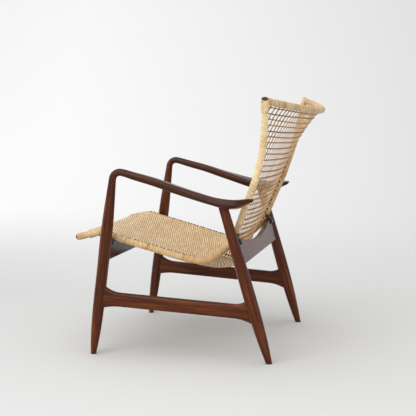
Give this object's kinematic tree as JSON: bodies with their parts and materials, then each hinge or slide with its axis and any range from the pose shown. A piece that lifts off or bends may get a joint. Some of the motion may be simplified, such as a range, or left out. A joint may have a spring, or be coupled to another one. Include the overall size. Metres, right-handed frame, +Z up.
{
  "type": "lounge armchair",
  "caption": "Low open armchair: dark turned-wood frame with sloping armrests, and a one-piece cane seat and back woven over bent rattan poles that black clips hold to the rails.",
  "frame": {"origin": "on the floor, under the middle of the chair", "axes": "+Z up, -Y towards the front edge of the seat, +X towards the sitter's left"},
  "size_m": [0.7982, 0.7484, 0.8091],
  "materials": {
    "frame_wood": "dark red-brown hardwood, satin oil",
    "dowel_wood": "plain beech dowel",
    "rattan": "peeled rattan pole",
    "cane_strip": "flat cane strip, semi-gloss",
    "woven_cane": "woven cane, semi-gloss",
    "black_steel": "satin black"
  },
  "bodies": {
    "root": {"front_leg_left": "frame_wood", "front_leg_right": "frame_wood", "rear_leg_left": "frame_wood", "rear_leg_right": "frame_wood", "armrest_left": "frame_wood", "armrest_right": "frame_wood", "side_stretcher_left": "frame_wood", "side_stretcher_right": "frame_wood", "front_rail": "frame_wood", "rear_rail": "frame_wood", "corner_dowel_left": "dowel_wood", "corner_dowel_right": "dowel_wood", "side_pole_left": "rattan", "side_pole_right": "rattan", "top_rail_pole": "rattan", "front_bar_pole": "rattan", "side_pole_wrap_left": "cane_strip", "side_pole_wrap_right": "cane_strip", "top_rail_wrap": "cane_strip", "front_bar_wrap": "cane_strip", "pole_bindings_left": "cane_strip", "pole_bindings_right": "cane_strip", "seat_cane": "woven_cane", "back_cane": "woven_cane", "front_clip_left": "black_steel", "front_clip_right": "black_steel", "rear_clip_left": "black_steel", "rear_clip_right": "black_steel", "front_clip_bolts": "black_steel", "rear_clip_bolts": "black_steel"}
  },
  "joints": []
}
